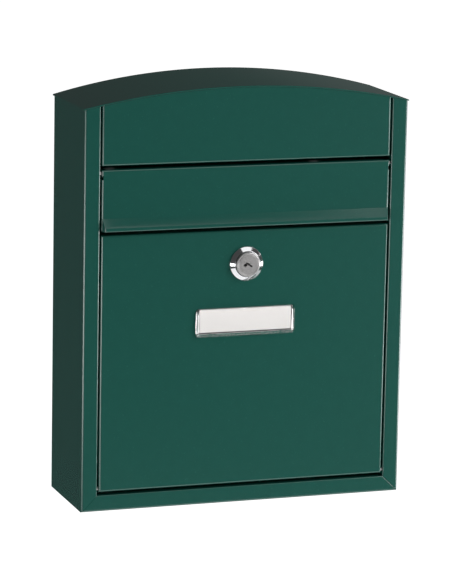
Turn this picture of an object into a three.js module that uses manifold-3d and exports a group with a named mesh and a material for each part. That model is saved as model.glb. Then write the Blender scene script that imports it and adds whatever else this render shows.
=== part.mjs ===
// Wall mounted mailbox: a folded sheet steel body with an arched roof, a letter flap hinged
// along its top, a collecting door hinged along its foot, a cam lock and a name label.
// Units are millimetres. +X is to the right, +Y goes into the wall and +Z is up.
// Distances called "out" are measured from the wall towards the viewer, so y = -out.
import * as THREE from 'three';
import { mergeVertices } from 'three/addons/utils/BufferGeometryUtils.js';
import Module from 'manifold-3d';

const wasm = await Module();
wasm.setup();

// ---- driving dimensions ----
const BODY_WIDTH = 215;
const SIDE_HEIGHT = 256.8;
const BODY_DEPTH = 70;
const SHEET = 1;
const ROOF_RISE_BACK = 14.1;
const ROOF_RISE_FRONT = 11.6;
const ROOF_SHEET = 0.9;
const ROOF_OVERHANG = 0.7;
const FLANGE_WIDTH = 10.4;
const FLANGE_RETURN = 10;
const PANEL_GAP = 1.1;
const DOOR_LOW = 12.6;
const DOOR_HIGH = 177.5;
const FLAP_LOW = 180.2;
const FLAP_HIGH = 218.9;
const FASCIA_LOW = 221.4;
const LOCK_HEIGHT = 155.9;
const LABEL_HEIGHT = 118.5;

// ---- shared small sizes ----
const CLEARANCE = 0.3;
const FOLD_RADIUS = 1.4;
const INNER_FOLD_RADIUS = 0.8;
const BACK_FOLD_RADIUS = 2;
const FOLD_STEPS = 4;
const ARCH_STEPS = 40;
const ROUND_STEPS = 32;
const SMALL_ROUND_STEPS = 16;
const PAST = 5;

// ---- worked out from the driving dimensions ----
const HALF_WIDTH = BODY_WIDTH / 2;
const OPENING_HALF = HALF_WIDTH - FLANGE_WIDTH;
const PANEL_HALF = OPENING_HALF - PANEL_GAP;
const INNER_HALF = HALF_WIDTH - SHEET;
const ORIGIN_HEIGHT = SIDE_HEIGHT / 2;

// ---- hinges ----
const PIN_RADIUS = 1.2;
const PIN_HOLE_RADIUS = 1.45;
const PIN_TIP = OPENING_HALF + 2 * SHEET;
const PIN_END = PANEL_HALF - 2 * SHEET;
const PIN_OUT = BODY_DEPTH - SHEET - CLEARANCE - PIN_RADIUS;
const DOOR_PIN_HEIGHT = DOOR_LOW + 2;
const FLAP_PIN_HEIGHT = FLAP_HIGH - 2;

// ---- colours ----
const GREEN = { color: 0x23564d, roughness: 0.42, metalness: 0 };
const ZINC = { color: 0xb9bcbd, roughness: 0.35, metalness: 1 };
const CHROME = { color: 0xd6d8da, roughness: 0.1, metalness: 1 };
const CLEAR = { color: 0xdfe6e6, roughness: 0.08, metalness: 0, transparent: true, opacity: 0.35 };
const CARD = { color: 0xefedec, roughness: 0.8, metalness: 0 };

// ---- the three ways a flat outline is extruded ----
const AXIS_X = new THREE.Vector3(1, 0, 0);
const AXIS_Y = new THREE.Vector3(0, 1, 0);
const AXIS_Z = new THREE.Vector3(0, 0, 1);
const AXIS_OUT = new THREE.Vector3(0, -1, 0);
// From above: outline (x, y), extruded up.
const FROM_ABOVE = new THREE.Matrix4().makeBasis(AXIS_X, AXIS_Y, AXIS_Z);
// From the side: outline (y, z), extruded to the right.
const FROM_SIDE = new THREE.Matrix4().makeBasis(AXIS_Y, AXIS_Z, AXIS_X);
// From the front: outline (x, z), extruded out from the wall.
const FROM_FRONT = new THREE.Matrix4().makeBasis(AXIS_X, AXIS_Z, AXIS_OUT);

const mailbox = new THREE.Group();
mailbox.position.z = -ORIGIN_HEIGHT;

function signedVolume(position, triangles) {
  let total = 0;
  const corner = [new THREE.Vector3(), new THREE.Vector3(), new THREE.Vector3()];
  for (let first = 0; first < triangles.length; first += 3) {
    corner.forEach((point, k) => point.fromBufferAttribute(position, triangles[first + k]));
    total += corner[0].dot(corner[1].clone().cross(corner[2])) / 6;
  }
  return total;
}

// A closed geometry as a solid that booleans can use, with its faces turned outwards.
function solid(geometry) {
  const bare = geometry.clone();
  bare.deleteAttribute('normal');
  bare.deleteAttribute('uv');
  const merged = mergeVertices(bare, 1e-4);
  const triangles = Uint32Array.from(merged.index.array);
  if (signedVolume(merged.attributes.position, triangles) < 0) {
    triangles.reverse();
  }
  const vertices = Float32Array.from(merged.attributes.position.array);
  return new wasm.Manifold(new wasm.Mesh({ numProp: 3, vertProperties: vertices, triVerts: triangles }));
}

function addPiece(name, shape, look) {
  const mesh = shape.getMesh();
  const geometry = new THREE.BufferGeometry();
  geometry.setAttribute('position', new THREE.BufferAttribute(mesh.vertProperties, 3));
  geometry.setIndex(new THREE.BufferAttribute(mesh.triVerts, 1));
  geometry.computeVertexNormals();
  const piece = new THREE.Mesh(geometry, new THREE.MeshStandardMaterial(look));
  piece.name = name;
  mailbox.add(piece);
}

function outline(points) {
  return new THREE.Shape(points.map(([u, v]) => new THREE.Vector2(u, v)));
}

function extrudeGeometry(shape, basis, start, end) {
  const geometry = new THREE.ExtrudeGeometry(shape, {
    depth: end - start,
    bevelEnabled: false,
    curveSegments: SMALL_ROUND_STEPS,
  });
  geometry.translate(0, 0, start);
  return geometry.applyMatrix4(basis);
}

function extrude(shape, basis, start, end) {
  return solid(extrudeGeometry(shape, basis, start, end));
}

function block(x, out, z) {
  const geometry = new THREE.BoxGeometry(x[1] - x[0], out[1] - out[0], z[1] - z[0]);
  geometry.translate((x[0] + x[1]) / 2, -(out[0] + out[1]) / 2, (z[0] + z[1]) / 2);
  return solid(geometry);
}

// A solid turned about the line through (x, z) that points out from the wall.
// The profile is a list of [radius, out].
function turned(profile, x, z, steps = ROUND_STEPS) {
  const points = profile.map(([radius, out]) => new THREE.Vector2(radius, -out));
  const geometry = new THREE.LatheGeometry(points, steps);
  geometry.translate(x, 0, z);
  return solid(geometry);
}

function rod(radius, out, x, z, steps = ROUND_STEPS) {
  return turned([[0, out[0]], [radius, out[0]], [radius, out[1]], [0, out[1]]], x, z, steps);
}

// A solid turned about a line parallel to X. The profile is a list of [radius, x].
function turnedAcross(profile, out, z) {
  const points = profile.map(([radius, x]) => new THREE.Vector2(radius, x));
  const geometry = new THREE.LatheGeometry(points, SMALL_ROUND_STEPS);
  geometry.rotateZ(-Math.PI / 2);
  geometry.translate(0, -out, z);
  return solid(geometry);
}

// A rectangle whose two front corners are rounded as folds, as points [u, out].
function foldedOutline(low, high, back, front, radius) {
  const points = [[low, back]];
  for (let step = 0; step <= FOLD_STEPS; step++) {
    const angle = (step / FOLD_STEPS) * (Math.PI / 2);
    points.push([low + radius * (1 - Math.cos(angle)), front - radius * (1 - Math.sin(angle))]);
  }
  for (let step = FOLD_STEPS; step >= 0; step--) {
    const angle = (step / FOLD_STEPS) * (Math.PI / 2);
    points.push([high - radius * (1 - Math.cos(angle)), front - radius * (1 - Math.sin(angle))]);
  }
  points.push([high, back]);
  return points;
}

// A block with rounded front edges, as wide and tall as asked.
function foldedBlock(half, low, high, back, front, radius) {
  const plan = foldedOutline(-half, half, back, front, radius).map(([x, out]) => [x, -out]);
  const profile = foldedOutline(low, high, back, front, radius).map(([z, out]) => [-out, z]);
  const across = extrude(outline(plan), FROM_ABOVE, low, high);
  return across.intersect(extrude(outline(profile), FROM_SIDE, -half, half));
}

// A shallow tray of sheet: a front face with its four edges folded back.
function foldedTray(half, low, high, depth) {
  const back = BODY_DEPTH - depth;
  const outer = foldedBlock(half, low, high, back, BODY_DEPTH, FOLD_RADIUS);
  const inner = foldedBlock(
    half - SHEET,
    low + SHEET,
    high - SHEET,
    back - PAST,
    BODY_DEPTH - SHEET,
    FOLD_RADIUS - SHEET,
  );
  return outer.subtract(inner);
}

// ---- folded strips: a bent sheet seen on its edge ----
function roundedLine(corners, radii) {
  const points = [corners[0]];
  for (let k = 1; k < corners.length - 1; k++) {
    const corner = new THREE.Vector2(...corners[k]);
    const before = new THREE.Vector2(...corners[k - 1]).sub(corner).normalize();
    const after = new THREE.Vector2(...corners[k + 1]).sub(corner).normalize();
    const centre = corner.clone().addScaledVector(before, radii[k]).addScaledVector(after, radii[k]);
    for (let step = 0; step <= FOLD_STEPS; step++) {
      const angle = (step / FOLD_STEPS) * (Math.PI / 2);
      const point = centre.clone();
      point.addScaledVector(after, -radii[k] * Math.cos(angle));
      point.addScaledVector(before, -radii[k] * Math.sin(angle));
      points.push([point.x, point.y]);
    }
  }
  points.push(corners[corners.length - 1]);
  return points;
}

// The outline of a sheet whose right-angled outer line is given. inner is the same line one
// sheet further in, with the same number of corners.
function stripOutline(outer, inner, radii) {
  const innerRadii = radii.map((radius) => Math.max(radius - SHEET, 0.2));
  const outerLine = roundedLine(outer, radii);
  const innerLine = roundedLine(inner, innerRadii);
  return outline([...outerLine, ...innerLine.reverse()]);
}

// ---- the roof's arch ----
function archHeight(x, rise) {
  const radius = (HALF_WIDTH ** 2 + rise ** 2) / (2 * rise);
  return Math.sqrt(radius ** 2 - x ** 2) - (radius - rise);
}

function archLine(half, height) {
  const points = [];
  for (let step = 0; step <= ARCH_STEPS; step++) {
    const x = half * (2 * (step / ARCH_STEPS) - 1);
    points.push([x, height + archHeight(x, ROOF_RISE_FRONT)]);
  }
  return points;
}

// The arch rises towards the wall: each point above the sides is lifted by how far back it is.
function liftToArch(geometry) {
  const position = geometry.attributes.position;
  for (let k = 0; k < position.count; k++) {
    const x = position.getX(k);
    const height = position.getZ(k);
    const towardsWall = 1 + position.getY(k) / BODY_DEPTH;
    const extra = archHeight(x, ROOF_RISE_BACK) - archHeight(x, ROOF_RISE_FRONT);
    if (height > SIDE_HEIGHT / 2) {
      position.setZ(k, height + extra * towardsWall);
    }
  }
  return geometry;
}

const ROOF_HALF = HALF_WIDTH + ROOF_OVERHANG;

// Everything below the roof's underside, less the clearance.
function spaceUnderRoof() {
  const top = archLine(ROOF_HALF, SIDE_HEIGHT - CLEARANCE);
  const shape = outline([[-ROOF_HALF, -PAST], ...top, [ROOF_HALF, -PAST]]);
  return solid(liftToArch(extrudeGeometry(shape, FROM_FRONT, 0, BODY_DEPTH)));
}

const underRoof = spaceUnderRoof();

function buildRoof() {
  const lower = archLine(ROOF_HALF, SIDE_HEIGHT);
  const upper = archLine(ROOF_HALF, SIDE_HEIGHT + ROOF_SHEET);
  const shape = outline([...lower, ...upper.reverse()]);
  const roof = solid(liftToArch(extrudeGeometry(shape, FROM_FRONT, 0, BODY_DEPTH)));
  addPiece('roof_cover', roof, GREEN);
}

// ---- body: sides and back in one folded sheet, and the bottom tray ----
// The space of the bottom flange and its return, below the 45 degree mitre at each corner.
function mitreSpace(shift) {
  const reach = HALF_WIDTH + shift;
  const high = FLANGE_WIDTH + PAST;
  const shape = outline([
    [-reach - PAST, -PAST],
    [reach + PAST, -PAST],
    [reach - high, high],
    [high - reach, high],
  ]);
  return extrude(shape, FROM_FRONT, BODY_DEPTH - FLANGE_RETURN - SHEET, BODY_DEPTH + PAST);
}

const WALL_HOLE_RADIUS = 3.2;
const WALL_HOLE_X = 70;
const WALL_HOLE_HEIGHTS = [30, 230];

function wallHoles() {
  const holes = [];
  for (const x of [-WALL_HOLE_X, WALL_HOLE_X]) {
    for (const z of WALL_HOLE_HEIGHTS) {
      holes.push(rod(WALL_HOLE_RADIUS, [-PAST, PAST], x, z, SMALL_ROUND_STEPS));
    }
  }
  return holes;
}

function hingeHoles(height) {
  return turnedAcross(
    [
      [0, -HALF_WIDTH + 2 * SHEET],
      [PIN_HOLE_RADIUS, -HALF_WIDTH + 2 * SHEET],
      [PIN_HOLE_RADIUS, HALF_WIDTH - 2 * SHEET],
      [0, HALF_WIDTH - 2 * SHEET],
    ],
    PIN_OUT,
    height,
  );
}

function shellCorners(inset) {
  const side = HALF_WIDTH - inset;
  const front = -(BODY_DEPTH - inset);
  const back = -inset;
  const edge = OPENING_HALF + inset;
  const tip = -(BODY_DEPTH - FLANGE_RETURN);
  return [
    [-edge, tip],
    [-edge, front],
    [-side, front],
    [-side, back],
    [side, back],
    [side, front],
    [edge, front],
    [edge, tip],
  ];
}

function buildBodyShell() {
  const half = [0, INNER_FOLD_RADIUS, FOLD_RADIUS, BACK_FOLD_RADIUS];
  const radii = [...half, ...half.toReversed()];
  const profile = stripOutline(shellCorners(0), shellCorners(SHEET), radii);
  const tall = SIDE_HEIGHT + ROOF_RISE_BACK + PAST;
  let shell = extrude(profile, FROM_ABOVE, 0, tall).intersect(underRoof);
  shell = shell.subtract(mitreSpace(CLEARANCE));
  for (const hole of [...wallHoles(), hingeHoles(DOOR_PIN_HEIGHT), hingeHoles(FLAP_PIN_HEIGHT)]) {
    shell = shell.subtract(hole);
  }
  addPiece('body_shell', shell, GREEN);
}

function trayCorners(inset) {
  const front = -(BODY_DEPTH - inset);
  return [
    [-SHEET - CLEARANCE, inset],
    [front, inset],
    [front, FLANGE_WIDTH - inset],
    [-(BODY_DEPTH - FLANGE_RETURN), FLANGE_WIDTH - inset],
  ];
}

function buildBottomTray() {
  const profile = stripOutline(trayCorners(0), trayCorners(SHEET), [0, FOLD_RADIUS, INNER_FOLD_RADIUS, 0]);
  const full = extrude(profile, FROM_SIDE, -HALF_WIDTH, HALF_WIDTH);
  const inside = INNER_HALF - CLEARANCE;
  const between = block([-inside, inside], [0, BODY_DEPTH - FOLD_RADIUS], [-PAST, SHEET + CLEARANCE]);
  const tray = full.intersect(mitreSpace(0).add(between));
  addPiece('bottom_tray', tray, GREEN);
}

// ---- fixed front panel above the letter flap ----
const FASCIA_DEPTH = 10;

function buildFascia() {
  const high = SIDE_HEIGHT + ROOF_RISE_BACK + PAST;
  const fascia = foldedTray(PANEL_HALF, FASCIA_LOW, high, FASCIA_DEPTH).intersect(underRoof);
  addPiece('fascia_panel', fascia, GREEN);
}

// ---- rail across the box between the letter slot and the door, which the lock catches ----
const RAIL_OUT = 54.5;
const RAIL_LOW = 176;
const RAIL_HIGH = 190;
const RAIL_LEDGE = 8;

function railCorners(inset) {
  return [
    [-(RAIL_OUT - inset), RAIL_LOW],
    [-(RAIL_OUT - inset), RAIL_HIGH - inset],
    [-(RAIL_OUT - RAIL_LEDGE), RAIL_HIGH - inset],
  ];
}

function buildCrossRail() {
  const half = INNER_HALF - CLEARANCE;
  const profile = stripOutline(railCorners(0), railCorners(SHEET), [0, FOLD_RADIUS, 0]);
  let rail = extrude(profile, FROM_SIDE, -half, half);
  const tabOut = [RAIL_OUT - RAIL_LEDGE, RAIL_OUT - SHEET / 2];
  const tabHeight = [RAIL_LOW, RAIL_HIGH - SHEET / 2];
  for (const tabWidth of [[-half, SHEET - half], [half - SHEET, half]]) {
    rail = rail.add(block(tabWidth, tabOut, tabHeight));
  }
  addPiece('cross_rail', rail, GREEN);
}

// ---- hinge pins: dowels through the folded sides of the flap and the door ----
function buildHingePin(name, side, height) {
  const profile = [
    [0, side * PIN_END],
    [PIN_RADIUS, side * PIN_END],
    [PIN_RADIUS, side * (PIN_TIP - CLEARANCE)],
    [PIN_RADIUS - CLEARANCE, side * PIN_TIP],
    [0, side * PIN_TIP],
  ];
  addPiece(name, turnedAcross(profile, PIN_OUT, height), ZINC);
}

// The folded edges are cut short where they meet, which leaves room for the pins' ends.
function cornerRelief(low, high) {
  const inner = PANEL_HALF - SHEET;
  const width = 2 * SHEET;
  const out = [0, BODY_DEPTH - SHEET];
  const left = block([-inner, width - inner], out, [low, high]);
  const right = block([inner - width, inner], out, [low, high]);
  return left.add(right);
}

// ---- letter flap ----
const FLAP_DEPTH = 10;
const LIP_CREASE = 188.2;
const LIP_BEND = 182.4;
const LIP_REACH = 3.5;
const LIP_END_SLOPE = 2.8;
const LIP_END_INSET = 0.5;
const LIP_NOSE = 0.7;

// The pulled-out lip, as a solid or, with an inset, as the hollow inside its sheet.
function lipSpace(inset) {
  const face = BODY_DEPTH - inset;
  const reach = face + LIP_REACH;
  const low = FLAP_LOW + inset;
  const half = PANEL_HALF - LIP_END_INSET - inset;
  const profile = [
    [-(face - SHEET), LIP_CREASE - inset / 2],
    [-face, LIP_CREASE - inset / 2],
    [-reach, LIP_BEND - inset / 2],
    [-reach, low + LIP_NOSE / 2],
    [-(reach - LIP_NOSE), low],
    [-(face - SHEET), low],
  ];
  const plan = [
    [-half, -(face - SHEET)],
    [half, -(face - SHEET)],
    [half, -face],
    [half - LIP_END_SLOPE, -reach],
    [LIP_END_SLOPE - half, -reach],
    [-half, -face],
  ];
  const along = extrude(outline(profile), FROM_SIDE, -PANEL_HALF, PANEL_HALF);
  return along.intersect(extrude(outline(plan), FROM_ABOVE, FLAP_LOW - PAST, LIP_CREASE + PAST));
}

function buildFlap() {
  let flap = foldedTray(PANEL_HALF, FLAP_LOW, FLAP_HIGH, FLAP_DEPTH);
  flap = flap.add(lipSpace(0)).subtract(lipSpace(SHEET));
  flap = flap.subtract(cornerRelief(FLAP_HIGH - SHEET - PAST, FLAP_HIGH + PAST));
  flap = flap.subtract(hingeHoles(FLAP_PIN_HEIGHT));
  addPiece('letter_flap', flap, GREEN);
}

// ---- collecting door ----
const DOOR_DEPTH = 14;
const LOCK_BARREL_RADIUS = 9;
const LOCK_FLAT_HALF = 8;
const PEG_RADIUS = 1.1;
const PEG_X = 24;
const PEG_HEIGHT = LABEL_HEIGHT - 7.6;

// A round bar with two flats, seen from the front.
function twoFlatOutline(radius, flatHalf) {
  const shape = new THREE.Shape();
  const angle = Math.asin(flatHalf / radius);
  shape.absarc(0, 0, radius, -angle, angle, false);
  shape.absarc(0, 0, radius, Math.PI - angle, Math.PI + angle, false);
  return shape;
}

function twoFlatBar(radius, flatHalf, out) {
  const bar = extrude(twoFlatOutline(radius, flatHalf), FROM_FRONT, out[0], out[1]);
  return bar.translate([0, 0, LOCK_HEIGHT]);
}

function buildDoor() {
  let door = foldedTray(PANEL_HALF, DOOR_LOW, DOOR_HIGH, DOOR_DEPTH);
  door = door.subtract(cornerRelief(DOOR_LOW - PAST, DOOR_LOW + SHEET + PAST));
  door = door.subtract(hingeHoles(DOOR_PIN_HEIGHT));
  const through = [BODY_DEPTH - 2 * SHEET, BODY_DEPTH + PAST];
  door = door.subtract(twoFlatBar(LOCK_BARREL_RADIUS + CLEARANCE, LOCK_FLAT_HALF + CLEARANCE, through));
  for (const x of [-PEG_X, PEG_X]) {
    door = door.subtract(rod(PEG_RADIUS + CLEARANCE, through, x, PEG_HEIGHT, SMALL_ROUND_STEPS));
  }
  addPiece('door_panel', door, GREEN);
}

// ---- cam lock ----
const ROSETTE_RADIUS = 11;
const ROSETTE_FRONT = BODY_DEPTH + 3.3;
const ROSETTE_BACK = BODY_DEPTH + CLEARANCE;
const ROSETTE_EDGE = 0.5;
const ROSETTE_CHAMFER = 0.65;
const ROSETTE_LIP = 0.3;
const SEAT_THICKNESS = 0.6;
const BARREL_BACK = 54.6;
const PLUG_DISC_RADIUS = 7.8;
const PLUG_DISC_CHAMFER = 0.5;
const PLUG_FRONT = BODY_DEPTH + 4.2;
const PLUG_RADIUS = 6.2;
const PLUG_BACK = 53.4;
const TAIL_RADIUS = 3.8;
const TAIL_FLAT_HALF = 2.9;
const TAIL_BACK = 46.6;
const KEYWAY_WIDTH = 1.1;
const KEYWAY_DEPTH = 6;
const KEYWAY_BEND = [-0.6, 0.7];
const KEYWAY_ENDS = [[-2.7, -0.9], [2.6, -1.5]];

function buildLockHousing() {
  const bore = PLUG_RADIUS + CLEARANCE;
  const seat = PLUG_DISC_RADIUS + CLEARANCE;
  const seatFront = ROSETTE_BACK + SEAT_THICKNESS;
  const profile = [
    [bore, BARREL_BACK],
    [LOCK_BARREL_RADIUS, BARREL_BACK],
    [LOCK_BARREL_RADIUS, ROSETTE_BACK],
    [ROSETTE_RADIUS, ROSETTE_BACK],
    [ROSETTE_RADIUS, ROSETTE_BACK + ROSETTE_EDGE],
    [ROSETTE_RADIUS - ROSETTE_CHAMFER, ROSETTE_BACK + ROSETTE_EDGE + ROSETTE_CHAMFER],
    [seat + ROSETTE_LIP, ROSETTE_FRONT],
    [seat, ROSETTE_FRONT],
    [seat, seatFront],
    [bore, seatFront],
    [bore, BARREL_BACK],
  ];
  // The flats run along the barrel, behind the rosette.
  const wide = [-HALF_WIDTH, HALF_WIDTH];
  const flatHeights = [LOCK_HEIGHT - LOCK_FLAT_HALF, LOCK_HEIGHT + LOCK_FLAT_HALF];
  const flats = block(wide, [0, ROSETTE_BACK], flatHeights);
  const kept = flats.add(block(wide, [ROSETTE_BACK, BODY_DEPTH + PAST], [0, SIDE_HEIGHT]));
  addPiece('lock_housing', turned(profile, 0, LOCK_HEIGHT).intersect(kept), CHROME);
}

// The keyway is a bent slot: one short stroke rises to the right and a longer one falls.
function keyway() {
  const [bendX, bendZ] = KEYWAY_BEND;
  const strokes = KEYWAY_ENDS.map(([x, z]) => {
    const run = x - bendX;
    const rise = z - bendZ;
    const length = Math.hypot(run, rise) + KEYWAY_WIDTH / 2;
    const cut = new THREE.BoxGeometry(length, 2 * KEYWAY_DEPTH, KEYWAY_WIDTH);
    cut.rotateY(-Math.atan2(rise, run));
    cut.translate((x + bendX) / 2, -PLUG_FRONT, LOCK_HEIGHT + (z + bendZ) / 2);
    return solid(cut);
  });
  return strokes[0].add(strokes[1]);
}

function buildLockPlug() {
  const discBack = ROSETTE_BACK + SEAT_THICKNESS + CLEARANCE;
  const profile = [
    [0, PLUG_BACK],
    [PLUG_RADIUS, PLUG_BACK],
    [PLUG_RADIUS, discBack],
    [PLUG_DISC_RADIUS, discBack],
    [PLUG_DISC_RADIUS, PLUG_FRONT - PLUG_DISC_CHAMFER],
    [PLUG_DISC_RADIUS - PLUG_DISC_CHAMFER, PLUG_FRONT],
    [0, PLUG_FRONT],
  ];
  const tail = twoFlatBar(TAIL_RADIUS, TAIL_FLAT_HALF, [TAIL_BACK, PLUG_BACK + 1]);
  addPiece('lock_plug', turned(profile, 0, LOCK_HEIGHT).add(tail).subtract(keyway()), CHROME);
}

const CAM_THICKNESS = 2;
const CAM_FRONT = PLUG_BACK - CLEARANCE;
const CAM_BACK = CAM_FRONT - CAM_THICKNESS;
const CAM_REACH = 29;
const CAM_HALF_WIDTH = 6;
const CAM_TIP_CUT = 2;
const CAM_WASHER_RADIUS = 6.4;
const CAM_WASHER_THICKNESS = 0.8;
const CAM_NUT_FLATS = 11;
const CAM_NUT_THICKNESS = 2.6;
const LOCK_NUT_FLATS = 23;
const LOCK_NUT_THICKNESS = 3.5;

// The cam points left with the lock open and turns up behind the cross rail.
function buildLockCam() {
  const shape = new THREE.Shape();
  shape.absarc(0, 0, CAM_HALF_WIDTH, -Math.PI / 2, Math.PI / 2, false);
  shape.lineTo(CAM_TIP_CUT - CAM_REACH, CAM_HALF_WIDTH);
  shape.lineTo(-CAM_REACH, CAM_HALF_WIDTH - CAM_TIP_CUT);
  shape.lineTo(-CAM_REACH, CAM_TIP_CUT - CAM_HALF_WIDTH);
  shape.lineTo(CAM_TIP_CUT - CAM_REACH, -CAM_HALF_WIDTH);
  const cam = extrude(shape, FROM_FRONT, CAM_BACK, CAM_FRONT).translate([0, 0, LOCK_HEIGHT]);
  const through = [CAM_BACK - PAST, CAM_FRONT + PAST];
  const hole = twoFlatBar(TAIL_RADIUS + CLEARANCE, TAIL_FLAT_HALF + CLEARANCE, through);
  addPiece('lock_cam', cam.subtract(hole), ZINC);
}

function hexPrism(acrossFlats, out) {
  const radius = acrossFlats / Math.sqrt(3);
  const points = [];
  for (let corner = 0; corner < 6; corner++) {
    const angle = (corner * Math.PI) / 3;
    points.push([radius * Math.cos(angle), radius * Math.sin(angle)]);
  }
  return extrude(outline(points), FROM_FRONT, out[0], out[1]).translate([0, 0, LOCK_HEIGHT]);
}

function buildLockFasteners() {
  const washerFront = CAM_BACK - CLEARANCE;
  const washerBack = washerFront - CAM_WASHER_THICKNESS;
  const nutFront = washerBack - CLEARANCE;
  const nutBack = nutFront - CAM_NUT_THICKNESS;
  const tailHole = rod(TAIL_RADIUS + CLEARANCE, [TAIL_BACK - PAST, CAM_FRONT], 0, LOCK_HEIGHT);
  const washer = rod(CAM_WASHER_RADIUS, [washerBack, washerFront], 0, LOCK_HEIGHT).subtract(tailHole);
  addPiece('cam_washer', washer, ZINC);
  addPiece('cam_nut', hexPrism(CAM_NUT_FLATS, [nutBack, nutFront]).subtract(tailHole), ZINC);
  const barrelHole = rod(LOCK_BARREL_RADIUS + CLEARANCE, [0, BODY_DEPTH], 0, LOCK_HEIGHT);
  const lockNutFront = BODY_DEPTH - SHEET - CLEARANCE;
  const lockNut = hexPrism(LOCK_NUT_FLATS, [lockNutFront - LOCK_NUT_THICKNESS, lockNutFront]);
  addPiece('lock_nut', lockNut.subtract(barrelHole), ZINC);
}

// ---- name label ----
const LABEL_WIDTH = 66.4;
const LABEL_TALL = 18.3;
const LABEL_THICKNESS = 2.4;
const LABEL_TAPER = 1.6;
const LABEL_CORNER = 2;
const LABEL_POCKET_DEPTH = 1;
const CARD_WIDTH = 61.6;
const CARD_TALL = 13.6;
const CARD_HEIGHT = LABEL_HEIGHT + 0.9;
const CARD_CORNER = 0.5;
const CARD_THICKNESS = 0.4;
const CLIP_RADIUS = 4.5;
const CLIP_THICKNESS = 0.6;
const PEG_PAST_CLIP = 1.4;
const LABEL_BACK = BODY_DEPTH + CLEARANCE;
const LABEL_FRONT = LABEL_BACK + LABEL_THICKNESS;

function roundedRectangle(width, tall, corner) {
  const right = width / 2 - corner;
  const top = tall / 2 - corner;
  const shape = new THREE.Shape();
  shape.absarc(right, -top, corner, -Math.PI / 2, 0, false);
  shape.absarc(right, top, corner, 0, Math.PI / 2, false);
  shape.absarc(-right, top, corner, Math.PI / 2, Math.PI, false);
  shape.absarc(-right, -top, corner, Math.PI, 1.5 * Math.PI, false);
  return shape;
}

// A plate that is smaller in front than at its back by the taper on every side.
function taperedPlate(width, tall, corner, taper, out, height) {
  const geometry = extrudeGeometry(roundedRectangle(width, tall, corner), FROM_FRONT, out[0], out[1]);
  const position = geometry.attributes.position;
  const middle = -(out[0] + out[1]) / 2;
  for (let k = 0; k < position.count; k++) {
    if (position.getY(k) < middle) {
      position.setX(k, position.getX(k) * (1 - (2 * taper) / width));
      position.setZ(k, position.getZ(k) * (1 - (2 * taper) / tall));
    }
  }
  geometry.translate(0, 0, height);
  return solid(geometry);
}

// A clear moulded cover with the card in a pocket at its back. The pocket sits high, so that the
// two pegs, which clips hold behind the door, fit in the solid strip below it.
function buildLabel() {
  const pocketFront = LABEL_BACK + LABEL_POCKET_DEPTH;
  const pocketOut = [LABEL_BACK - PAST, pocketFront];
  const pocketWidth = CARD_WIDTH + 2 * CLEARANCE;
  const pocketTall = CARD_TALL + 2 * CLEARANCE;
  const coverOut = [LABEL_BACK, LABEL_FRONT];
  const plate = taperedPlate(LABEL_WIDTH, LABEL_TALL, LABEL_CORNER, LABEL_TAPER, coverOut, LABEL_HEIGHT);
  const pocket = taperedPlate(pocketWidth, pocketTall, CARD_CORNER, 0, pocketOut, CARD_HEIGHT);
  let cover = plate.subtract(pocket);
  const clipFront = BODY_DEPTH - SHEET - CLEARANCE;
  const clipBack = clipFront - CLIP_THICKNESS;
  const pegOut = [clipBack - PEG_PAST_CLIP, pocketFront];
  for (const [name, x] of [['label_clip_left', -PEG_X], ['label_clip_right', PEG_X]]) {
    cover = cover.add(rod(PEG_RADIUS, pegOut, x, PEG_HEIGHT, SMALL_ROUND_STEPS));
    const ring = rod(CLIP_RADIUS, [clipBack, clipFront], x, PEG_HEIGHT, SMALL_ROUND_STEPS);
    const hole = rod(PEG_RADIUS + CLEARANCE, [0, BODY_DEPTH], x, PEG_HEIGHT, SMALL_ROUND_STEPS);
    addPiece(name, ring.subtract(hole), ZINC);
  }
  addPiece('label_cover', cover, CLEAR);
  const cardBack = LABEL_BACK + CLEARANCE / 2;
  const cardFront = cardBack + CARD_THICKNESS;
  const card = taperedPlate(CARD_WIDTH, CARD_TALL, CARD_CORNER, 0, [cardBack, cardFront], CARD_HEIGHT);
  addPiece('label_card', card, CARD);
}

buildBodyShell();
buildBottomTray();
buildRoof();
buildFascia();
buildCrossRail();
buildFlap();
buildHingePin('flap_pin_left', -1, FLAP_PIN_HEIGHT);
buildHingePin('flap_pin_right', 1, FLAP_PIN_HEIGHT);
buildDoor();
buildHingePin('door_pin_left', -1, DOOR_PIN_HEIGHT);
buildHingePin('door_pin_right', 1, DOOR_PIN_HEIGHT);
buildLockHousing();
buildLockPlug();
buildLockCam();
buildLockFasteners();
buildLabel();

export default mailbox;
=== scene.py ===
"""Looks for the wall mounted mailbox: fine sheet metal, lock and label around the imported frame.

Shapes are worked out in millimetres in the row frame and made in metres.
"out" is the distance from the wall towards the viewer, so y = -out.
"""
import math

import bmesh
import bpy
from mathutils import Matrix, Vector


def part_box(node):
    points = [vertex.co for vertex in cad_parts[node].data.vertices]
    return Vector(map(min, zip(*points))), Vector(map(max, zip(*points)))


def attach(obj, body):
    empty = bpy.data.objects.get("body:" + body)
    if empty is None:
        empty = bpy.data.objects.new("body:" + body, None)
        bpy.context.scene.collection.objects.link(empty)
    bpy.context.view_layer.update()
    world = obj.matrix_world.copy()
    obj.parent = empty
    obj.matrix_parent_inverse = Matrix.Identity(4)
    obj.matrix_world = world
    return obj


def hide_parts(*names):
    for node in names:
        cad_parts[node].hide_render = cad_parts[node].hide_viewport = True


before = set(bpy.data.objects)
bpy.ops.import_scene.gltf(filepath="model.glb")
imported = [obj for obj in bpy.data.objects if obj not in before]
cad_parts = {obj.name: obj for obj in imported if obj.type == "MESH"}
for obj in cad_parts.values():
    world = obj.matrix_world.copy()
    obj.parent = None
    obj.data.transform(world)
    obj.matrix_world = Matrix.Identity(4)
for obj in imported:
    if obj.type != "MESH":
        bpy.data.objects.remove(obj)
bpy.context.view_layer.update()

MM = 0.001

# ---- sizes from the frame, in millimetres ----


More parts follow.
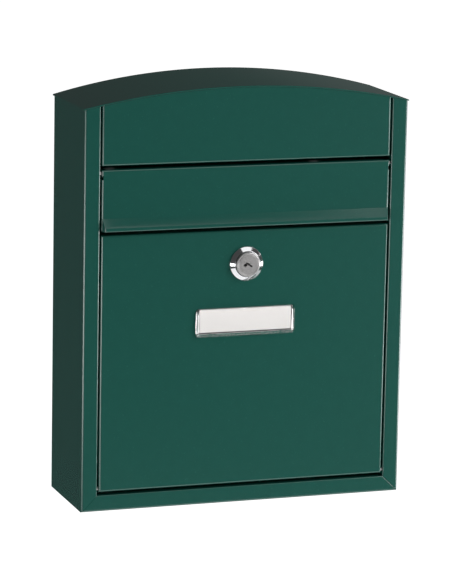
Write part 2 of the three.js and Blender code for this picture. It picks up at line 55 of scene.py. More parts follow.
def low_high(node):
    low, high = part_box(node)
    return low / MM, high / MM


SHELL_LOW, SHELL_HIGH = low_high("body_shell")
ROOF_HIGH = low_high("roof_cover")[1]
TRAY_HIGH = low_high("bottom_tray")[1]
FASCIA_LOW, FASCIA_HIGH = low_high("fascia_panel")
FLAP_LOW, FLAP_HIGH = low_high("letter_flap")
DOOR_LOW, DOOR_HIGH = low_high("door_panel")
COVER_LOW, COVER_HIGH = low_high("label_cover")
HOUSING_LOW, HOUSING_HIGH = low_high("lock_housing")
PLUG_LOW, PLUG_HIGH = low_high("lock_plug")

HALF_WIDTH = SHELL_HIGH.x
DEPTH = -SHELL_LOW.y
BOTTOM = SHELL_LOW.z
PANEL_HALF = DOOR_HIGH.x
LOCK_Z = (HOUSING_LOW.z + HOUSING_HIGH.z) / 2
LABEL_Z = (COVER_LOW.z + COVER_HIGH.z) / 2

# ---- sizes that the frame's boxes don't give ----
SHEET = 1.0
GAP = 0.3
SEAM = 0.1
FLANGE = TRAY_HIGH.z - BOTTOM
OPENING_HALF = HALF_WIDTH - FLANGE
FLANGE_RETURN = 10.0
FOLD = 1.4
INNER_FOLD = 0.8
BACK_FOLD = 2.0
FOLD_STEPS = 8
SIDE_TOP = BOTTOM + 256.8
ROOF_SHEET = 0.9
RISE_BACK = 14.1
RISE_FRONT = 11.6
ARCH_STEPS = 64
# how far a cutting tool reaches past the sheet that it cuts
PAST = 5.0
# what lies on the door stands this far off its face
REST_GAP = 0.05
PIN_HOLE = 1.45
PIN_OUT = 67.5
PIN_FROM_EDGE = 2.0
TURNED_STEPS = 96


# ---- making solids ----


def from_above(u, v, w):
    return u, v, w


def from_side(u, v, w):
    return w, u, v


def from_front(u, v, w):
    return u, -w, v


def new_object(name, bm):
    bmesh.ops.recalc_face_normals(bm, faces=bm.faces)
    mesh = bpy.data.meshes.new(name)
    bm.to_mesh(mesh)
    bm.free()
    piece = bpy.data.objects.new(name, mesh)
    bpy.context.scene.collection.objects.link(piece)
    return piece


def solid_between(name, outlines):
    """A closed solid through a row of outlines, each the same number of points in space."""
    bm = bmesh.new()
    rings = [[bm.verts.new(Vector(point) * MM) for point in outline] for outline in outlines]
    for a, b in zip(rings, rings[1:]):
        for k in range(len(a)):
            after = (k + 1) % len(a)
            bm.faces.new((a[k], a[after], b[after], b[k]))
    bm.faces.new(rings[0])
    bm.faces.new(rings[-1])
    return new_object(name, bm)


def prism(name, outline, view, low, high, lift=None):
    """A flat outline, a list of (u, v), extruded from low to high."""
    ends = []
    for w in (low, high):
        points = [Vector(view(u, v, w)) for u, v in outline]
        if lift:
            points = [lift(point) for point in points]
        ends.append(points)
    return solid_between(name, ends)


def lathe(name, profile, axis_x, axis_z, steps=72):
    """A profile of (radius, out) turned about a line that points out from the wall.

    It starts and ends on that line, or else closes on itself and leaves a bore.
    """
    bm = bmesh.new()
    rings = []
    for radius, out in profile:
        if radius < 1e-6:
            rings.append([bm.verts.new(Vector((axis_x, -out, axis_z)) * MM)])
            continue
        ring = []
        for step in range(steps):
            angle = 2 * math.pi * step / steps
            x = axis_x + radius * math.cos(angle)
            z = axis_z + radius * math.sin(angle)
            ring.append(bm.verts.new(Vector((x, -out, z)) * MM))
        rings.append(ring)
    is_ring = profile[0][0] > 1e-6
    following = rings[1:] + rings[:1] if is_ring else rings[1:]
    for a, b in zip(rings, following):
        for step in range(steps):
            after = (step + 1) % steps
            if len(a) == 1:
                bm.faces.new((a[0], b[step], b[after]))
            elif len(b) == 1:
                bm.faces.new((a[step], a[after], b[0]))
            else:
                bm.faces.new((a[step], a[after], b[after], b[step]))
    return new_object(name, bm)


def rod(name, radius, out, x, z, steps=32):
    profile = [(0, out[0]), (radius, out[0]), (radius, out[1]), (0, out[1])]
    return lathe(name, profile, x, z, steps)


def rod_across(name, radius, half, out, z, steps=32):
    """A rod from one side to the other."""
    angles = [2 * math.pi * step / steps for step in range(steps)]
    outline = [(-out + radius * math.cos(a), z + radius * math.sin(a)) for a in angles]
    return prism(name, outline, from_side, -half, half)


def block(name, x, out, z):
    outline = [(x[0], z[0]), (x[1], z[0]), (x[1], z[1]), (x[0], z[1])]
    return prism(name, outline, from_front, out[0], out[1])


def settle(piece):
    """Puts the piece's modifiers into its mesh."""
    bpy.context.view_layer.update()
    graph = bpy.context.evaluated_depsgraph_get()
    mesh = bpy.data.meshes.new_from_object(piece.evaluated_get(graph))
    piece.modifiers.clear()
    piece.data = mesh
    mesh.name = piece.name


def combine(piece, tool, operation):
    """Joins, cuts or keeps with a tool, which is used up."""
    modifier = piece.modifiers.new("shape", "BOOLEAN")
    modifier.object = tool
    modifier.operation = operation
    modifier.solver = "EXACT"
    settle(piece)
    bpy.data.objects.remove(tool)
    return piece


def add_bevel(piece, width):
    bevel = piece.modifiers.new("edges", "BEVEL")
    bevel.width = width * MM
    bevel.segments = 2
    bevel.limit_method = "ANGLE"
    bevel.angle_limit = math.radians(38)


def soften(piece, width=0.22):
    """Small round edges where the sheet was cut, and smooth folds."""
    if width:
        add_bevel(piece, width)
        settle(piece)
    piece.data.shade_smooth()
    piece.data.set_sharp_from_angle(angle=math.radians(40))
    normals = piece.modifiers.new("normals", "WEIGHTED_NORMAL")
    normals.keep_sharp = True
    normals.weight = 80


def arc(centre, radius, start, end, steps=FOLD_STEPS):
    """Points on an arc, with its angles in degrees."""
    points = []
    for step in range(steps + 1):
        angle = math.radians(start + (end - start) * step / steps)
        points.append((centre[0] + radius * math.cos(angle), centre[1] + radius * math.sin(angle)))
    return points


def rounded(corners, radii, steps=FOLD_STEPS):
    """An open line with an arc at each inner corner."""
    points = [corners[0]]
    for k in range(1, len(corners) - 1):
        here = Vector(corners[k])
        back = (Vector(corners[k - 1]) - here).normalized()
        ahead = (Vector(corners[k + 1]) - here).normalized()
        half_angle = back.angle(ahead) / 2
        if radii[k] < 1e-6 or abs(half_angle - math.pi / 2) < 1e-4:
            points.append(tuple(here))
            continue
        reach = radii[k] / math.tan(half_angle)
        middle = here + (back + ahead).normalized() * (radii[k] / math.sin(half_angle))
        start = here + back * reach - middle
        end = here + ahead * reach - middle
        sweep = start.angle_signed(end)
        for step in range(steps + 1):
            turn = Matrix.Rotation(-sweep * step / steps, 2)
            points.append(tuple(middle + turn @ start))
    points.append(corners[-1])
    return points


def strip(outer, inner, radii):
    """The edge-on outline of a sheet folded along outer, one sheet thick towards inner."""
    inner_radii = [max(radius - SHEET, 0.15) for radius in radii]
    return rounded(outer, radii) + rounded(inner, inner_radii)[::-1]


# ---- the roof's arch ----


def arch(x, rise):
    radius = (HALF_WIDTH**2 + rise**2) / (2 * rise)
    return math.sqrt(radius**2 - x**2) - (radius - rise)


def lift_to_arch(point):
    """The arch rises towards the wall."""
    if point.z > 0:
        towards_wall = 1 + point.y / DEPTH
        point.z += (arch(point.x, RISE_BACK) - arch(point.x, RISE_FRONT)) * towards_wall
    return point


def arch_line(half, height):
    steps = [half * (2 * step / ARCH_STEPS - 1) for step in range(ARCH_STEPS + 1)]
    return [(x, height + arch(x, RISE_FRONT)) for x in steps]


def under_roof():
    half = ROOF_HIGH.x
    outline = [(-half, BOTTOM - PAST)] + arch_line(half, SIDE_TOP - SEAM) + [(half, BOTTOM - PAST)]
    return prism("under_roof", outline, from_front, 0, DEPTH, lift_to_arch)


# ---- folded trays: a face with its four edges folded back ----


def folded_outline(low, high, back, front, radius):
    left = arc((low + radius, front - radius), radius, 180, 90)
    right = arc((high - radius, front - radius), radius, 90, 0)
    return [(low, back)] + left + right + [(high, back)]


def folded_block(name, half, low, high, back, front, radius):
    plan = [(x, -out) for x, out in folded_outline(-half, half, back, front, radius)]
    profile = [(-out, z) for z, out in folded_outline(low, high, back, front, radius)]
    across = prism(name, plan, from_above, low, high)
    return combine(across, prism("profile", profile, from_side, -half, half), "INTERSECT")


def folded_tray(name, half, low, high, depth):
    back = DEPTH - depth
    outer = folded_block(name, half, low, high, back, DEPTH, FOLD)
    inner = folded_block(
        "hollow",
        half - SHEET,
        low + SHEET,
        high - SHEET,
        back - PAST,
        DEPTH - SHEET,
        FOLD - SHEET,
    )
    return combine(outer, inner, "DIFFERENCE")


# ---- body ----


def mitre_space(shift):
    """The space of the bottom flange, below the 45 degree seam at each corner."""
    reach = HALF_WIDTH + shift
    high = FLANGE + PAST
    outline = [
        (-reach - PAST, BOTTOM - PAST),
        (reach + PAST, BOTTOM - PAST),
        (reach - high, BOTTOM + high),
        (high - reach, BOTTOM + high),
    ]
    return prism("mitre", outline, from_front, DEPTH - FLANGE_RETURN - SHEET, DEPTH + PAST)


def shell_corners(inset):
    side = HALF_WIDTH - inset
    front = -(DEPTH - inset)
    edge = OPENING_HALF + inset
    tip = -(DEPTH - FLANGE_RETURN)
    half = [(edge, tip), (edge, front), (side, front), (side, -inset)]
    return [(-x, y) for x, y in half] + half[::-1]


WALL_HOLE_RADIUS = 3.2
WALL_HOLE_X = 70.0
WALL_HOLE_HEIGHTS = (30.0, 230.0)
DOOR_PIN_Z = DOOR_LOW.z + PIN_FROM_EDGE
FLAP_PIN_Z = FLAP_HIGH.z - PIN_FROM_EDGE


def cut_pin_hole(piece, half, height):
    combine(piece, rod_across("hole", PIN_HOLE, half, PIN_OUT, height), "DIFFERENCE")


def make_shell():
    radii = [0, INNER_FOLD, FOLD, BACK_FOLD, BACK_FOLD, FOLD, INNER_FOLD, 0]
    outline = strip(shell_corners(0), shell_corners(SHEET), radii)
    shell = prism("shell_sheet", outline, from_above, BOTTOM, ROOF_HIGH.z + PAST)
    combine(shell, under_roof(), "INTERSECT")
    combine(shell, mitre_space(SEAM), "DIFFERENCE")
    for height in (DOOR_PIN_Z, FLAP_PIN_Z):
        cut_pin_hole(shell, HALF_WIDTH - 2 * SHEET, height)
    for x in (-WALL_HOLE_X, WALL_HOLE_X):
        for height in WALL_HOLE_HEIGHTS:
            hole = rod("hole", WALL_HOLE_RADIUS, (-PAST, PAST), x, BOTTOM + height)
            combine(shell, hole, "DIFFERENCE")
    soften(shell)
    return shell


def tray_corners(inset):
    front = -(DEPTH - inset)
    high = BOTTOM + FLANGE - inset
    return [
        (-SHEET - GAP, BOTTOM + inset),
        (front, BOTTOM + inset),
        (front, high),
        (-(DEPTH - FLANGE_RETURN), high),
    ]


MITRE_WIDTH = 0.65
MITRE_OVERLAP = 0.5
MITRE_FALL = 0.45


def mitre_wedge(side):
    """The sloping cut along a mitre. It is MITRE_FALL deep at MITRE_OVERLAP past the seam."""
    section = [
        (MITRE_WIDTH, DEPTH),
        (-MITRE_OVERLAP, DEPTH - MITRE_FALL),
        (-MITRE_OVERLAP, DEPTH + 1),
        (MITRE_WIDTH, DEPTH + 1),
    ]
    slant = math.sqrt(0.5)

    def place(along, inward, out):
        x = side * (HALF_WIDTH - slant * (along + inward))
        return x, -out, BOTTOM + slant * (along - inward)

    ends = (-3, FLANGE / slant + 3)
    outlines = [[place(along, inward, out) for inward, out in section] for along in ends]
    return solid_between("mitre_wedge", outlines)


def make_bottom_tray():
    outline = strip(tray_corners(0), tray_corners(SHEET), [0, FOLD, INNER_FOLD, 0])
    tray = prism("tray_sheet", outline, from_side, -HALF_WIDTH, HALF_WIDTH)
    inside = HALF_WIDTH - SHEET - GAP
    kept = mitre_space(0)
    heights = (BOTTOM - PAST, BOTTOM + SHEET + GAP)
    between = block("between", (-inside, inside), (0, DEPTH - FOLD), heights)
    combine(kept, between, "UNION")
    combine(tray, kept, "INTERSECT")
    for side in (-1, 1):
        combine(tray, mitre_wedge(side), "DIFFERENCE")
    soften(tray)
    return tray


def make_roof():
    half = ROOF_HIGH.x
    outline = arch_line(half, SIDE_TOP) + arch_line(half, SIDE_TOP + ROOF_SHEET)[::-1]
    roof = prism("roof_sheet", outline, from_front, 0, DEPTH, lift_to_arch)
    soften(roof)
    return roof


def make_fascia():
    depth = FASCIA_HIGH.y - FASCIA_LOW.y
    fascia = folded_tray("fascia_sheet", PANEL_HALF, FASCIA_LOW.z, ROOF_HIGH.z + PAST, depth)
    combine(fascia, under_roof(), "INTERSECT")
    soften(fascia)
    return fascia


# ---- letter flap with its pulled-out lip ----
LIP_CREASE = 188.2
LIP_BEND = 182.4
LIP_BEND_RADIUS = 1.2
LIP_END_INSET = 0.5
LIP_END_SLOPE = 1.2
LIP_RADIUS = 0.9
LIP_FACE = -FLAP_LOW.y
NOTCH_LOW = 6.2
NOTCH_HIGH = 3.7
NOTCH_DEPTH = 3.0


def lip_space(inset):
    """The space in front of the flap that the lip fills, or its hollow when inset by a sheet."""
    face = DEPTH - inset
    reach = LIP_FACE - inset
    low = FLAP_LOW.z + inset
    crease = BOTTOM + LIP_CREASE - inset / 2
    bend = BOTTOM + LIP_BEND - inset / 2
    behind = face - SHEET
    half = PANEL_HALF - LIP_END_INSET - inset
    radius = max(LIP_RADIUS - inset, 0.1)
    corners = [(-behind, crease), (-face, crease), (-reach, bend), (-reach, low), (-behind, low)]
    profile = rounded(corners, [0, 0, LIP_BEND_RADIUS, radius, 0], 5)
    plan_corners = [(0, -reach), (half - LIP_END_SLOPE, -reach), (half, -face), (half, -behind)]
    right = rounded(plan_corners, [0, 0.8, 0.4, 0], 4)
    plan = right[1:] + [(-x, y) for x, y in right[:0:-1]]
    along = prism("lip", profile, from_side, -PANEL_HALF, PANEL_HALF)
    ends = prism("plan", plan, from_above, FLAP_LOW.z - PAST, crease + PAST)
    return combine(along, ends, "INTERSECT")


def corner_relief(piece, low, high):
    """Opens the folds' corners, so that the side folds stand alone where the pins pass."""
    inner = PANEL_HALF - SHEET
    for side in (-1, 1):
        x = sorted((side * inner, side * (inner - 2 * SHEET)))
        combine(piece, block("relief", x, (0, DEPTH - SHEET), (low, high)), "DIFFERENCE")


def make_flap():
    flap = folded_tray("flap_sheet", PANEL_HALF, FLAP_LOW.z, FLAP_HIGH.z, FLAP_HIGH.y + DEPTH)
    combine(flap, lip_space(0), "UNION")
    combine(flap, lip_space(SHEET), "DIFFERENCE")
    corner_relief(flap, FLAP_HIGH.z - SHEET - PAST, FLAP_HIGH.z + PAST)
    cut_pin_hole(flap, PANEL_HALF + PAST, FLAP_PIN_Z)
    heights = (FLAP_HIGH.z - NOTCH_LOW, FLAP_HIGH.z - NOTCH_HIGH)
    for side in (-1, 1):
        x = sorted((side * (PANEL_HALF - SHEET), side * (PANEL_HALF + PAST)))
        combine(flap, block("notch", x, (DEPTH - NOTCH_DEPTH, DEPTH + 1), heights), "DIFFERENCE")
    soften(flap)
    return flap


# ---- door ----
BARREL_RADIUS = 9.0
BARREL_FLAT = 8.0


def two_flats(name, radius, flat, out):
    """A round bar with flats above and below."""
    angle = math.degrees(math.asin(flat / radius))
    right = arc((0, LOCK_Z), radius, -angle, angle, 16)
    left = arc((0, LOCK_Z), radius, 180 - angle, 180 + angle, 16)
    return prism(name, right + left, from_front, out[0], out[1])


def make_door():
    door = folded_tray("door_sheet", PANEL_HALF, DOOR_LOW.z, DOOR_HIGH.z, DOOR_HIGH.y + DEPTH)
    corner_relief(door, DOOR_LOW.z - PAST, DOOR_LOW.z + SHEET + PAST)
    cut_pin_hole(door, PANEL_HALF + PAST, DOOR_PIN_Z)
    through = (DEPTH - 2 * SHEET, DEPTH + PAST)
    combine(door, two_flats("hole", BARREL_RADIUS + GAP, BARREL_FLAT + GAP, through), "DIFFERENCE")
    soften(door)
    return door


# ---- lock ----
BORE_RADIUS = 6.5
BORE_STEP = 0.9
RIM_RADIUS = 0.5
LIP_ROUND = 0.25
CONE_FALL = 0.7
PLUG_BODY_BACK = 53.4
PLUG_BODY_RADIUS = 6.2
PLUG_DISC_BACK = 1.2
PLUG_EDGE = 0.5
TAIL_RADIUS = 3.8
TAIL_FLAT = 2.9
KEYWAY_BEND = Vector((-0.6, 0.7))
# where each arm of the keyway ends, and half its width
KEYWAY_ARMS = ((Vector((-2.7, -0.9)), 0.85), (Vector((2.6, -1.5)), 0.55))
KEYWAY_DEPTH = 6.0


def make_rosette():
    """The lock's housing: a bevelled chrome ring in front of the barrel."""
    front = -HOUSING_LOW.y
    back = -HOUSING_HIGH.y
    rim = HOUSING_HIGH.x
    seat = PLUG_HIGH.x + GAP
    face = DEPTH + REST_GAP
    profile = [(BORE_RADIUS, back), (BARREL_RADIUS, back), (BARREL_RADIUS, face), (rim - 0.2, face)]
    profile += arc((rim - RIM_RADIUS, face + RIM_RADIUS), RIM_RADIUS, -45, 55, 5)
    profile += arc((seat + LIP_ROUND, front - CONE_FALL), LIP_ROUND, 55, 180, 6)
    profile += [(seat, DEPTH + BORE_STEP), (BORE_RADIUS, DEPTH + BORE_STEP)]
    rosette = lathe("lock_rosette", profile, 0, LOCK_Z, TURNED_STEPS)
    soften(rosette, 0)
    return rosette


def make_plug():
    """The turning plug: a satin disc with a grooved edge, and the bent keyway."""
    front = -PLUG_LOW.y
    back = -PLUG_HIGH.y
    rim = PLUG_HIGH.x
    disc_back = DEPTH + PLUG_DISC_BACK
    profile = [(0, PLUG_BODY_BACK), (PLUG_BODY_RADIUS, PLUG_BODY_BACK)]
    profile += [(PLUG_BODY_RADIUS, disc_back), (rim, disc_back)]
    profile += arc((rim - PLUG_EDGE, front - PLUG_EDGE), PLUG_EDGE, 0, 90, 5)
    # a shallow groove inside the disc's edge
    profile += [(rim - 0.95, front), (rim - 1.15, front - 0.22), (rim - 1.45, front - 0.22)]
    profile += [(rim - 1.65, front), (0, front)]
    plug = lathe("lock_plug_turned", profile, 0, LOCK_Z, TURNED_STEPS)
    tail = two_flats("tail", TAIL_RADIUS, TAIL_FLAT, (back, PLUG_BODY_BACK + 1))
    combine(plug, tail, "UNION")
    for end, half_width in KEYWAY_ARMS:
        along = (end - KEYWAY_BEND).normalized()
        across = Vector((-along.y, along.x)) * half_width
        start = KEYWAY_BEND - along * 0.3
        corners = [start - across, end - across, end + across, start + across]
        outline = [(corner.x, LOCK_Z + corner.y) for corner in corners]
        arm = prism("keyway", outline, from_front, front - KEYWAY_DEPTH, front + PAST)
        combine(plug, arm, "DIFFERENCE")
    soften(plug, 0.12)
    return plug


# ---- label ----
CARD_FOOT = -5.8
CARD_HEAD = 8.8
CARD_LEFT = -30.8
CARD_RIGHT = 30.4
CARD_OUT = (70.5, 70.75)
# where the near-black board stands: painted shade behind the card's edges
SHADE_BOARD_OUT = (70.1, 70.48)
POCKET_OUT = 70.85
POCKET_ROOM = 1.0
COVER_CORNER = 2.0
COVER_BACK = DEPTH + REST_GAP
COVER_FRONT = -COVER_LOW.y
# how far in and how far out each ring of the cover lies, from its back to its front
COVER_LEVELS = (
    (0.0, COVER_BACK),
    (0.0, COVER_BACK + 0.6),
    (0.12, COVER_BACK + 0.85),
    (1.55, COVER_FRONT - 0.1),
    (1.75, COVER_FRONT),
)
PEG_RADIUS = 1.1
PEG_X = 24.0
PEG_Z = LABEL_Z - 7.6


def rounded_rectangle(half_x, half_z, radius, steps=6):
    right, top = half_x - radius, half_z - radius
    points = []
    for quarter, centre in enumerate(((right, -top), (right, top), (-right, top), (-right, -top))):
        start = 90 * (quarter - 1)
        points += arc(centre, radius, start, start + 90, steps)
    return points


def make_cover():
    """A clear moulded block with bevelled sides and a pocket for the card at its back."""
    half_x, half_z = COVER_HIGH.x, COVER_HIGH.z - LABEL_Z
    outlines = []
    for inset, out in COVER_LEVELS:
        flat = rounded_rectangle(half_x - inset, half_z - inset, COVER_CORNER)
        outlines.append([(x, -out, LABEL_Z + z) for x, z in flat])
    cover = solid_between("label_cover_clear", outlines)
    pocket = block(
        "pocket",
        (CARD_LEFT - POCKET_ROOM, CARD_RIGHT + POCKET_ROOM),
        (COVER_BACK - PAST, POCKET_OUT),
        (LABEL_Z + CARD_FOOT - POCKET_ROOM, LABEL_Z + CARD_HEAD + 0.1),
    )
    combine(cover, pocket, "DIFFERENCE")
    for x in (-PEG_X, PEG_X):
        peg = rod("peg", PEG_RADIUS, (-COVER_HIGH.y, COVER_BACK + 0.1), x, PEG_Z)
        combine(cover, peg, "UNION")
    soften(cover, 0)
    return cover


def make_card():
    flat = rounded_rectangle((CARD_RIGHT - CARD_LEFT) / 2, (CARD_HEAD - CARD_FOOT) / 2, 0.4, 3)
    middle = Vector(((CARD_RIGHT + CARD_LEFT) / 2, LABEL_Z + (CARD_HEAD + CARD_FOOT) / 2))
    outline = [(x + middle.x, z + middle.y) for x, z in flat]
    card = prism("label_card_paper", outline, from_front, *CARD_OUT)
    soften(card, 0.08)
    return card


def make_painted_shade_board():
    """A near-black board behind the card, painted shade: it shows as a thin black line round three
    of the card's edges, in place of the shade in the pocket around the card.
    """
    room = POCKET_ROOM - 0.05
    x = (CARD_LEFT - room, CARD_RIGHT + room)
    heights = (LABEL_Z + CARD_FOOT - room, LABEL_Z + CARD_HEAD)
    backing = block("label_card_painted_shade", x, SHADE_BOARD_OUT, heights)
    soften(backing, 0)
    return backing


# ---- materials ----


class Nodes:
    """A material's node tree, with the object's own coordinates in metres."""

    def __init__(self, name):
        self.material = bpy.data.materials.new(name)
        self.material.use_nodes = True
        self.tree = self.material.node_tree
        self.shader = self.tree.nodes["Principled BSDF"]
        self.place = self.tree.nodes.new("ShaderNodeTexCoord").outputs["Object"]

    def set(self, **values):
        for name, value in values.items():
            self.shader.inputs[name.replace("_", " ")].default_value = value

    def link(self, output, target):
        self.tree.links.new(output, target)

    def noise(self, size_mm, detail=2.0, stretch=None):
        """Noise whose grains are about size_mm across."""
        source = self.place
        if stretch:
            mapping = self.tree.nodes.new("ShaderNodeMapping")
            mapping.inputs["Scale"].default_value = stretch
            self.link(source, mapping.inputs["Vector"])
            source = mapping.outputs["Vector"]
        node = self.tree.nodes.new("ShaderNodeTexNoise")
        node.inputs["Scale"].default_value = 1 / (size_mm * MM)
        node.inputs["Detail"].default_value = detail
        self.link(source, node.inputs["Vector"])
        return node.outputs["Fac"]

    def ramp(self, factor, low, high, start=0.35, end=0.65):
        node = self.tree.nodes.new("ShaderNodeValToRGB")
        node.color_ramp.elements[0].position = start
        node.color_ramp.elements[1].position = end
        node.color_ramp.elements[0].color = low
        node.color_ramp.elements[1].color = high
        self.link(factor, node.inputs["Fac"])
        return node.outputs["Color"]

    def mix(self, factor, first, second):
        """A link and a fixed colour, mixed by a factor."""
        node = self.tree.nodes.new("ShaderNodeMixRGB")
        self.link(factor, node.inputs["Fac"])
        self.link(first, node.inputs["Color1"])
        node.inputs["Color2"].default_value = second
        return node.outputs["Color"]

    def range(self, factor, low, high):
        node = self.tree.nodes.new("ShaderNodeMapRange")
        node.inputs["From Min"].default_value = 0.3
        node.inputs["From Max"].default_value = 0.7
        node.inputs["To Min"].default_value = low
        node.inputs["To Max"].default_value = high
        self.link(factor, node.inputs["Value"])
        return node.outputs["Result"]

    def bump(self, height, distance_mm, strength=1.0, normal=None):
        node = self.tree.nodes.new("ShaderNodeBump")
        node.inputs["Distance"].default_value = distance_mm * MM
        node.inputs["Strength"].default_value = strength
        self.link(height, node.inputs["Height"])
        if normal:
            self.link(normal, node.inputs["Normal"])
        self.link(node.outputs["Normal"], self.shader.inputs["Normal"])
        return node.outputs["Normal"]


def paint():
    """Dark green powder coat: fine grain, faint mottling, painted glints as sparse pale dots, and a
    satin gloss.
    """
    nodes = Nodes("green powder coat")
    deep = (0.0054, 0.0765, 0.0588, 1)
    light = (0.0060, 0.0795, 0.0614, 1)
    mottle = nodes.ramp(nodes.noise(7, 3), deep, light)
    # painted highlight: sparse pale dots in the base colour stand in for the coat's tiny glints
    painted_glints = nodes.ramp(nodes.noise(0.8, 1), (0, 0, 0, 1), (1, 1, 1, 1), 0.70, 0.78)
    colour = nodes.mix(painted_glints, mottle, (0.016, 0.115, 0.092, 1))
    nodes.link(colour, nodes.shader.inputs["Base Color"])
    nodes.link(nodes.range(nodes.noise(0.9, 3), 0.18, 0.22), nodes.shader.inputs["Roughness"])
    orange_peel = nodes.bump(nodes.noise(1.6, 1), 0.006, 0.4)
    nodes.bump(nodes.noise(0.4, 2), 0.004, 0.5, orange_peel)
    nodes.set(IOR=1.5, Specular_IOR_Level=1.0)
    return nodes.material


def chrome():
    nodes = Nodes("polished chrome")
    nodes.set(Base_Color=(0.82, 0.83, 0.85, 1), Metallic=1.0)
    nodes.link(nodes.range(nodes.noise(1.2, 4), 0.06, 0.14), nodes.shader.inputs["Roughness"])
    nodes.bump(nodes.noise(2.5, 1), 0.01, 0.3)
    return nodes.material


def satin_metal():
    nodes = Nodes("satin nickel")
    colour = nodes.ramp(nodes.noise(0.6, 3), (0.50, 0.49, 0.49, 1), (0.66, 0.65, 0.65, 1))
    nodes.link(colour, nodes.shader.inputs["Base Color"])
    nodes.set(Metallic=1.0)
    nodes.link(nodes.range(nodes.noise(0.4, 3), 0.3, 0.46), nodes.shader.inputs["Roughness"])
    nodes.bump(nodes.noise(0.5, 3), 0.02, 0.5)
    return nodes.material


def zinc():
    nodes = Nodes("zinc plated steel")
    colour = nodes.ramp(nodes.noise(2.2, 4), (0.62, 0.62, 0.62, 1), (0.80, 0.79, 0.78, 1))
    nodes.link(colour, nodes.shader.inputs["Base Color"])
    nodes.set(Metallic=1.0)
    nodes.link(nodes.range(nodes.noise(1.1, 4), 0.25, 0.42), nodes.shader.inputs["Roughness"])
    nodes.bump(nodes.noise(0.4, 2), 0.01, 0.4)
    return nodes.material


def clear_plastic():
    nodes = Nodes("clear acrylic")
    nodes.set(Base_Color=(0.99, 0.985, 0.98, 1), Transmission_Weight=1.0, IOR=1.49)
    nodes.link(nodes.range(nodes.noise(3, 2), 0.015, 0.05), nodes.shader.inputs["Roughness"])
    nodes.bump(nodes.noise(6, 1), 0.01, 0.2)
    return nodes.material


def paper(name, low, high):
    nodes = Nodes(name)
    nodes.link(nodes.ramp(nodes.noise(0.8, 3), low, high), nodes.shader.inputs["Base Color"])
    nodes.set(Roughness=0.75)
    nodes.bump(nodes.noise(0.3, 4, (1, 1, 2.5)), 0.02, 0.5)
    return nodes.material


# ---- camera and studio ----
CAMERA_PLACE = Vector((-0.6809, -1.9927, 0.4197))
CAMERA_AZIMUTH = math.radians(-19.15)
CAMERA_ELEVATION = math.radians(11.39)
CAMERA_ROLL = math.radians(1.07)
CAMERA_LENS = 202.1
# how bright the room is, except to the camera and through the clear cover
ROOM_LIGHT = 0.06


def towards(azimuth, elevation):
    """The direction from the object to something at these angles, in radians."""
    flat = math.cos(elevation)
    return Vector((math.sin(azimuth) * flat, -math.cos(azimuth) * flat, math.sin(elevation)))


def make_camera():
    data = bpy.data.cameras.new("camera")
    data.lens = CAMERA_LENS
    data.clip_end = 100
    camera = bpy.data.objects.new("camera", data)
    bpy.context.scene.collection.objects.link(camera)
    back = towards(CAMERA_AZIMUTH, CAMERA_ELEVATION)
    level = Vector((0, 0, 1)).cross(back).normalized()
    upright = back.cross(level)
    right = level * math.cos(CAMERA_ROLL) + upright * math.sin(CAMERA_ROLL)
    up = upright * math.cos(CAMERA_ROLL) - level * math.sin(CAMERA_ROLL)
    turn = Matrix((right, up, back)).transposed().to_4x4()
    camera.matrix_world = Matrix.Translation(CAMERA_PLACE) @ turn
    bpy.context.scene.camera = camera


def softbox(name, azimuth, elevation, distance, width, height, radiance):
    """A rectangular light that faces the object. Its radiance doesn't depend on its size."""
    data = bpy.data.lights.new(name, "AREA")
    data.shape = "RECTANGLE"
    data.size = width
    data.size_y = height
    data.energy = radiance * width * height * math.pi
    light = bpy.data.objects.new(name, data)
    bpy.context.scene.collection.objects.link(light)
    direction = towards(math.radians(azimuth), math.radians(elevation))
    light.location = direction * distance
    light.rotation_euler = direction.to_track_quat("Z", "Y").to_euler()


def pale_surface(name, strength):
    material = bpy.data.materials.new(name)
    material.use_nodes = True
    shader = material.node_tree.nodes["Principled BSDF"]
    shader.inputs["Base Color"].default_value = (0.8, 0.8, 0.8, 1)
    shader.inputs["Roughness"].default_value = 0.9
    shader.inputs["Emission Color"].default_value = (1, 1, 1, 1)
    shader.inputs["Emission Strength"].default_value = strength
    material.cycles.emission_sampling = "NONE"
    return material


def seen_by_camera_only(piece):
    piece.visible_diffuse = False
    piece.visible_glossy = False
    piece.visible_shadow = False


def make_world():
    """A dim room whose walls are plain white in the picture and through the clear cover."""
    world = bpy.data.worlds.new("studio")
    world.use_nodes = True
    tree = world.node_tree
    background = tree.nodes["Background"]
    background.inputs["Color"].default_value = (1, 1, 1, 1)
    path = tree.nodes.new("ShaderNodeLightPath")
    seen = tree.nodes.new("ShaderNodeMath")
    seen.operation = "MAXIMUM"
    strength = tree.nodes.new("ShaderNodeMapRange")
    strength.inputs["To Min"].default_value = ROOM_LIGHT
    strength.inputs["To Max"].default_value = 1.0
    tree.links.new(path.outputs["Is Camera Ray"], seen.inputs[0])
    tree.links.new(path.outputs["Is Transmission Ray"], seen.inputs[1])
    tree.links.new(seen.outputs["Value"], strength.inputs["Value"])
    tree.links.new(strength.outputs["Result"], background.inputs["Strength"])
    bpy.context.scene.world = world


def pale_disc(name, radius, height, strength):
    bm = bmesh.new()
    bmesh.ops.create_circle(bm, cap_ends=True, segments=96, radius=radius)
    disc = new_object(name, bm)
    disc.location.z = height
    disc.data.materials.append(pale_surface("pale " + name, strength))
    return disc


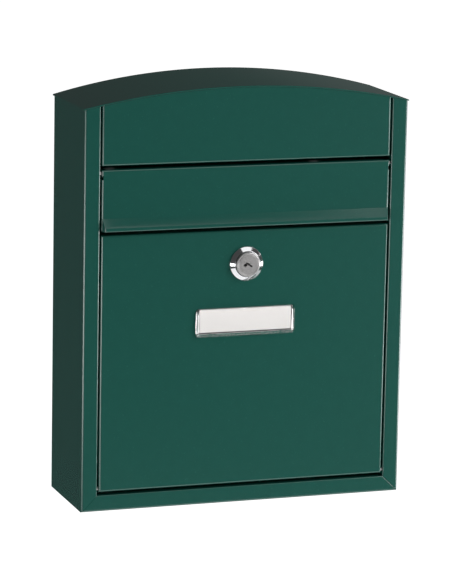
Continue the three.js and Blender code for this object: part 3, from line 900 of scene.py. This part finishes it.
def make_studio():
    """A pale table that the object reflects, a white floor just below it, and soft lights."""
    pale_disc("table", 1.2, -0.6, 0.68)
    seen_by_camera_only(pale_disc("floor", 24, -0.62, 1.0))
    make_world()
    softbox("key", 50, 24, 2.3, 0.8, 1.5, 9.3)
    softbox("left strip", -60, -11, 2.0, 2.3, 0.36, 4.8)
    softbox("right strip", 66, -11, 2.0, 2.2, 0.36, 8.0)
    softbox("ceiling", 38, 65, 1.6, 1.4, 0.8, 1.05)
    softbox("back card", 180, 5, 2.5, 3.0, 0.7, 0.045)
    view = bpy.context.scene.view_settings
    view.view_transform = "Standard"
    view.look = "None"


# ---- put it together ----


def add(piece, body, node, material):
    piece.data.materials.clear()
    piece.data.materials.append(material)
    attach(piece, body)
    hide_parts(node)


def keep_node(node, material):
    """A CAD node that stays, with softened edges and its own material."""
    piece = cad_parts[node]
    piece.data.materials.clear()
    piece.data.materials.append(material)
    piece.data.shade_smooth()
    piece.data.set_sharp_from_angle(angle=math.radians(35))
    add_bevel(piece, 0.15)
    normals = piece.modifiers.new("normals", "WEIGHTED_NORMAL")
    normals.keep_sharp = True


make_camera()
green = paint()
bright = chrome()
satin = satin_metal()
steel = zinc()
clear = clear_plastic()
white = paper("paper", (0.86, 0.84, 0.83, 1), (0.89, 0.875, 0.865, 1))
# painted shade: the near-black board that shows as a thin line round the card
shade_board_paint = paper("painted shade board", (0.010, 0.010, 0.011, 1), (0.016, 0.016, 0.018, 1))

add(make_shell(), "body", "body_shell", green)
add(make_bottom_tray(), "body", "bottom_tray", green)
add(make_roof(), "body", "roof_cover", green)
add(make_fascia(), "body", "fascia_panel", green)
add(make_flap(), "flap", "letter_flap", green)
add(make_door(), "door", "door_panel", green)
add(make_rosette(), "door", "lock_housing", bright)
add(make_plug(), "lock", "lock_plug", satin)
add(make_cover(), "door", "label_cover", clear)
add(make_card(), "door", "label_card", white)
# painted shade round three of the card's edges
add(make_painted_shade_board(), "door", "label_card", shade_board_paint)
keep_node("cross_rail", green)
for kept in (
    "flap_pin_left",
    "flap_pin_right",
    "door_pin_left",
    "door_pin_right",
    "lock_cam",
    "cam_washer",
    "cam_nut",
    "lock_nut",
    "label_clip_left",
    "label_clip_right",
):
    keep_node(kept, steel)
make_studio()
